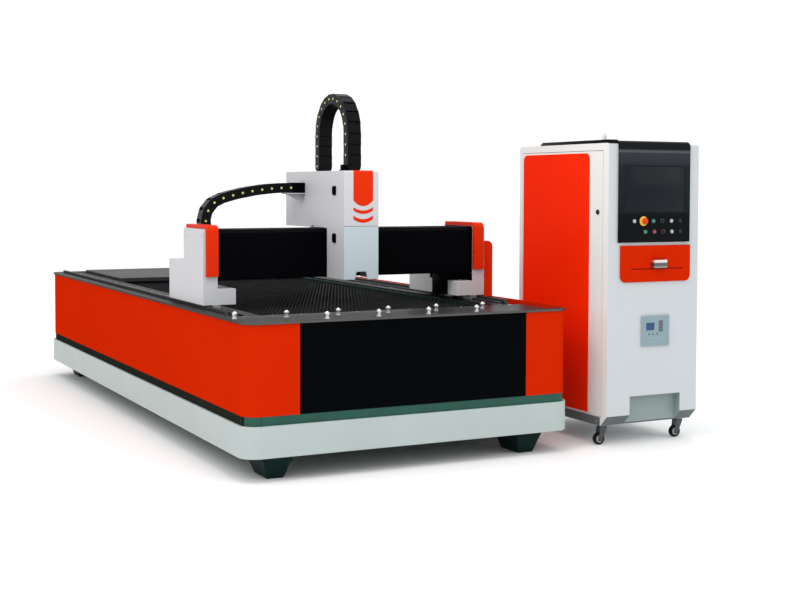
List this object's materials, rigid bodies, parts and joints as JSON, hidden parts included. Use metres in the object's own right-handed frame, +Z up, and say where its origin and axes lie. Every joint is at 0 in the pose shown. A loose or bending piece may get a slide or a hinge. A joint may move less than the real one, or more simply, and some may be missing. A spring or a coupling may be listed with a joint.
{
  "type": "fiber laser cutting machine",
  "caption": "Open-bed fiber laser cutter: slat table, gantry with a travelling cutting head, energy chains and a control cabinet on casters.",
  "frame": {"origin": "on the floor, under the middle of the whole machine (bed and cabinet)", "axes": "+Z up, +Y from the bed's front to its rear, +X from the bed to the cabinet"},
  "size_m": [3.122, 4.905, 2.2319],
  "materials": {
    "frame_green": "satin",
    "skirt_white": "satin",
    "panel_red": "gloss",
    "panel_black": "gloss",
    "trim_metal": "satin",
    "deck_grey": "satin",
    "rail_steel": "ground",
    "slat_steel": "raw",
    "ball_steel": "polished",
    "cover_white": "satin",
    "cover_blue": "satin",
    "beam_black": "satin",
    "plate_steel": "machined",
    "motor_black": "satin",
    "chain_black": "satin",
    "head_black": "satin",
    "cabinet_white": "satin",
    "console_black": "satin",
    "screen_glass": "gloss",
    "ring_metal": "polished",
    "panel_grey": "satin",
    "toe_grey": "satin",
    "button_green": "gloss",
    "button_red": "gloss",
    "selector_black": "satin",
    "fork_steel": "zinc plated",
    "wheel_black": "satin",
    "lamp_white": "satin"
  },
  "bodies": {
    "machine": {"bed_frame": "frame_green", "base_skirt": "skirt_white", "side_panels": "panel_red", "corner_panels": "panel_red", "front_panel": "panel_black", "table_trim": "trim_metal", "deck_plates": "deck_grey", "bed_rails": "rail_steel", "slats": "slat_steel", "scrap_tray": "frame_green", "ball_transfers": "ball_steel", "chain_trough": "panel_red", "side_chain": "chain_black", "cabinet_shell": "cabinet_white", "toe_plate": "toe_grey", "console_hood": "console_black", "screen": "screen_glass", "button_bezels": "ring_metal", "controller_panel": "panel_grey", "laser_source": "panel_grey", "beacon": "lamp_white"},
    "gantry": {"y_saddles": "plate_steel", "end_covers": "cover_white", "end_caps": "panel_red", "gantry_beam": "beam_black", "x_rails": "rail_steel", "y_motors": "motor_black", "outboard_cover": "panel_red", "beam_chain": "chain_black"},
    "y_drive_left": {"y_pinion_left": "rail_steel"},
    "y_drive_right": {"y_pinion_right": "rail_steel"},
    "carriage": {"carriage_cover": "cover_white", "head_front_cover": "cover_blue", "cover_trim": "panel_red", "carriage_plate": "plate_steel", "carriage_motors": "motor_black", "z_chain": "chain_black"},
    "x_drive": {"x_pinion": "rail_steel"},
    "lift_screw": {"z_screw": "rail_steel"},
    "head": {"head_slide": "plate_steel", "cutting_head": "head_black"},
    "door": {"cabinet_door": "cabinet_white", "door_panel": "panel_red"},
    "lock": {"door_lock": "selector_black"},
    "drawer": {"keyboard_drawer": "panel_red", "drawer_handle": "ring_metal"},
    "emergency_stop": {"e_stop": "button_red"},
    "start_button": {"button_green_1": "button_green"},
    "run_button": {"button_green_2": "button_green"},
    "stop_button": {"button_red": "button_red"},
    "upper_selector": {"selector_1": "selector_black"},
    "lower_selector": {"selector_2": "selector_black"},
    "caster_1": {"caster_fork_1": "fork_steel"},
    "wheel_1": {"caster_wheel_1": "wheel_black"},
    "caster_2": {"caster_fork_2": "fork_steel"},
    "wheel_2": {"caster_wheel_2": "wheel_black"},
    "caster_3": {"caster_fork_3": "fork_steel"},
    "wheel_3": {"caster_wheel_3": "wheel_black"},
    "caster_4": {"caster_fork_4": "fork_steel"},
    "wheel_4": {"caster_wheel_4": "wheel_black"}
  },
  "joints": [
    {"name": "gantry_travel", "type": "slide", "parent": "machine", "child": "gantry", "axis": [0, 1, 0], "range_m": [-0.19, 2.87], "deforming": ["side_chain"]},
    {"name": "carriage_travel", "type": "slide", "parent": "gantry", "child": "carriage", "axis": [1, 0, 0], "range_m": [-0.7, 0.81], "deforming": ["beam_chain"]},
    {"name": "head_lift", "type": "slide", "parent": "carriage", "child": "head", "axis": [0, 0, 1], "range_m": [-0.16, 0], "deforming": ["z_chain"]},
    {"name": "y_pinion_left_turn", "type": "hinge", "parent": "gantry", "child": "y_drive_left", "pos_m": [-1.4307, -0.9825, 0.903], "axis": [0, 0, 1], "range_deg": [-436, 6580]},
    {"name": "y_pinion_right_turn", "type": "hinge", "parent": "gantry", "child": "y_drive_right", "pos_m": [0.4087, -0.9825, 0.903], "axis": [0, 0, 1], "range_deg": [-6580, 436]},
    {"name": "x_pinion_turn", "type": "hinge", "parent": "carriage", "child": "x_drive", "pos_m": [-0.5675, -1.2622, 1.38], "axis": [0, 0, 1], "range_deg": [-1857, 1605]},
    {"name": "screw_turn", "type": "hinge", "parent": "carriage", "child": "lift_screw", "pos_m": [-0.5675, -1.5538, 1.372], "axis": [0, 0, 1], "range_deg": [0, 2881]},
    {"name": "door_swing", "type": "hinge", "parent": "machine", "child": "door", "pos_m": [0.858, -1.4135, 1.022], "axis": [0, 0, 1], "range_deg": [-15, 0]},
    {"name": "lock_turn", "type": "hinge", "parent": "door", "child": "lock", "pos_m": [0.851, -2.2905, 1.483], "axis": [1, 0, 0], "range_deg": [0, 90]},
    {"name": "drawer_slide", "type": "slide", "parent": "machine", "child": "drawer", "axis": [0, -1, 0], "range_m": [0, 0.3]},
    {"name": "e_stop_push", "type": "slide", "parent": "machine", "child": "emergency_stop", "axis": [0, 1, 0], "range_m": [0, 0.005], "stiffness_N_per_m": 1500, "springref_m": -0.002},
    {"name": "start_push", "type": "slide", "parent": "machine", "child": "start_button", "axis": [0, 1, 0], "range_m": [0, 0.003], "stiffness_N_per_m": 800, "springref_m": -0.002},
    {"name": "run_push", "type": "slide", "parent": "machine", "child": "run_button", "axis": [0, 1, 0], "range_m": [0, 0.003], "stiffness_N_per_m": 800, "springref_m": -0.002},
    {"name": "stop_push", "type": "slide", "parent": "machine", "child": "stop_button", "axis": [0, 1, 0], "range_m": [0, 0.003], "stiffness_N_per_m": 800, "springref_m": -0.002},
    {"name": "upper_selector_turn", "type": "hinge", "parent": "machine", "child": "upper_selector", "pos_m": [1.255, -2.4185, 1.426], "axis": [0, 1, 0], "range_deg": [-45, 45]},
    {"name": "lower_selector_turn", "type": "hinge", "parent": "machine", "child": "lower_selector", "pos_m": [1.261, -2.4185, 1.358], "axis": [0, 1, 0], "range_deg": [-45, 45]},
    {"name": "caster_1_swivel", "type": "hinge", "parent": "machine", "child": "caster_1", "pos_m": [0.903, -2.2845, 0.12], "axis": [0, 0, 1], "continuous": true},
    {"name": "wheel_1_roll", "type": "hinge", "parent": "caster_1", "child": "wheel_1", "pos_m": [0.875, -2.2845, 0.038], "axis": [0, 1, 0], "continuous": true},
    {"name": "caster_2_swivel", "type": "hinge", "parent": "machine", "child": "caster_2", "pos_m": [1.509, -2.2845, 0.12], "axis": [0, 0, 1], "continuous": true},
    {"name": "wheel_2_roll", "type": "hinge", "parent": "caster_2", "child": "wheel_2", "pos_m": [1.481, -2.2845, 0.038], "axis": [0, 1, 0], "continuous": true},
    {"name": "caster_3_swivel", "type": "hinge", "parent": "machine", "child": "caster_3", "pos_m": [0.903, -1.4145, 0.12], "axis": [0, 0, 1], "continuous": true},
    {"name": "wheel_3_roll", "type": "hinge", "parent": "caster_3", "child": "wheel_3", "pos_m": [0.875, -1.4145, 0.038], "axis": [0, 1, 0], "continuous": true},
    {"name": "caster_4_swivel", "type": "hinge", "parent": "machine", "child": "caster_4", "pos_m": [1.509, -1.4145, 0.12], "axis": [0, 0, 1], "continuous": true},
    {"name": "wheel_4_roll", "type": "hinge", "parent": "caster_4", "child": "wheel_4", "pos_m": [1.481, -1.4145, 0.038], "axis": [0, 1, 0], "continuous": true}
  ],
  "couplings": [
    {"joint": "y_pinion_left_turn", "follows": "gantry_travel", "rad_per_m": 40},
    {"joint": "y_pinion_right_turn", "follows": "gantry_travel", "rad_per_m": -40},
    {"joint": "x_pinion_turn", "follows": "carriage_travel", "rad_per_m": -40},
    {"joint": "screw_turn", "follows": "head_lift", "rad_per_m": -314.16}
  ]
}
